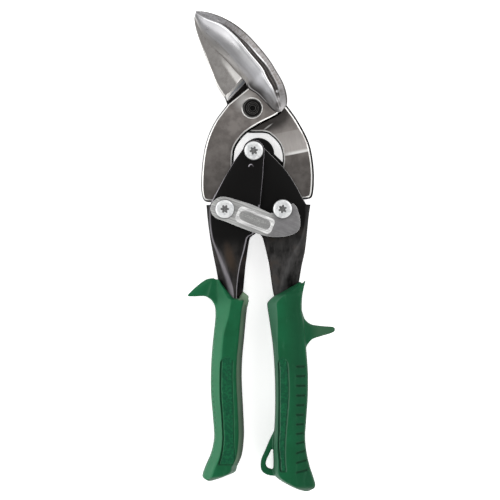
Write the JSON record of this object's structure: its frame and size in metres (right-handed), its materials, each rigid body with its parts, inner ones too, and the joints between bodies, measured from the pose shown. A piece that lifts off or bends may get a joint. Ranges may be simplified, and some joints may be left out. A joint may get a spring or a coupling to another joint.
{
  "type": "aviation snips",
  "caption": "Offset compound-action sheet metal snips with a domed upper jaw, two pivoted channel levers, a hook latch and green moulded grips.",
  "frame": {"origin": "bottom centre of the overall box of the closed, latched snips lying on their back", "axes": "+Y towards the jaw tip, +X towards the right-hand grip, +Z out of the front face"},
  "size_m": [0.0722, 0.2352, 0.0218],
  "materials": {
    "jaw_steel": "ground and polished forging",
    "forged_steel": "satin forging with bright ground edges",
    "black_steel": "black oxide on pressed steel",
    "zinc_steel": "bright zinc plating",
    "spring_steel": "oiled spring wire",
    "latch_steel": "brushed zinc plating",
    "green_grip": "moulded vinyl, fine grain"
  },
  "bodies": {
    "left_handle": {"left_lever": "black_steel", "left_grip": "green_grip", "centre_bolt": "zinc_steel", "centre_bush": "zinc_steel", "centre_nut": "zinc_steel", "torsion_spring": "spring_steel", "left_bolt": "zinc_steel", "left_nut_washer": "zinc_steel", "left_nut": "zinc_steel", "latch_washer": "zinc_steel"},
    "right_handle": {"right_lever": "black_steel", "right_grip": "green_grip", "right_bolt": "zinc_steel", "right_nut": "zinc_steel"},
    "front_blade_body": {"front_blade": "jaw_steel", "blade_pivot_bolt": "black_steel", "blade_pivot_washer": "zinc_steel", "blade_pivot_nut": "black_steel"},
    "back_blade_body": {"back_blade": "forged_steel"},
    "latch_body": {"latch": "latch_steel"}
  },
  "joints": [
    {"name": "handle_opening", "type": "hinge", "parent": "left_handle", "child": "right_handle", "pos_m": [-0.0038, 0.0492, 0.009], "axis": [0, 0, 1], "range_deg": [0, 38], "deforming": ["torsion_spring"]},
    {"name": "front_blade_pivot", "type": "hinge", "parent": "left_handle", "child": "front_blade_body", "pos_m": [-0.0179, 0.0206, 0.009], "axis": [0, 0, 1], "range_deg": [0, 8.33]},
    {"name": "blade_pivot", "type": "hinge", "parent": "front_blade_body", "child": "back_blade_body", "pos_m": [-0.0043, 0.0701, 0.009], "axis": [0, 0, 1], "range_deg": [0, 20.83]},
    {"name": "latch_swing", "type": "hinge", "parent": "left_handle", "child": "latch_body", "pos_m": [-0.0179, 0.0206, 0.009], "axis": [0, 0, 1], "range_deg": [-57, 0]}
  ],
  "couplings": [
    {"joint": "front_blade_pivot", "follows": "handle_opening", "ratio": 0.2193},
    {"joint": "blade_pivot", "follows": "handle_opening", "ratio": 0.5481},
    {"joint": "latch_swing", "follows": "handle_opening", "ratio": -1.5}
  ]
}
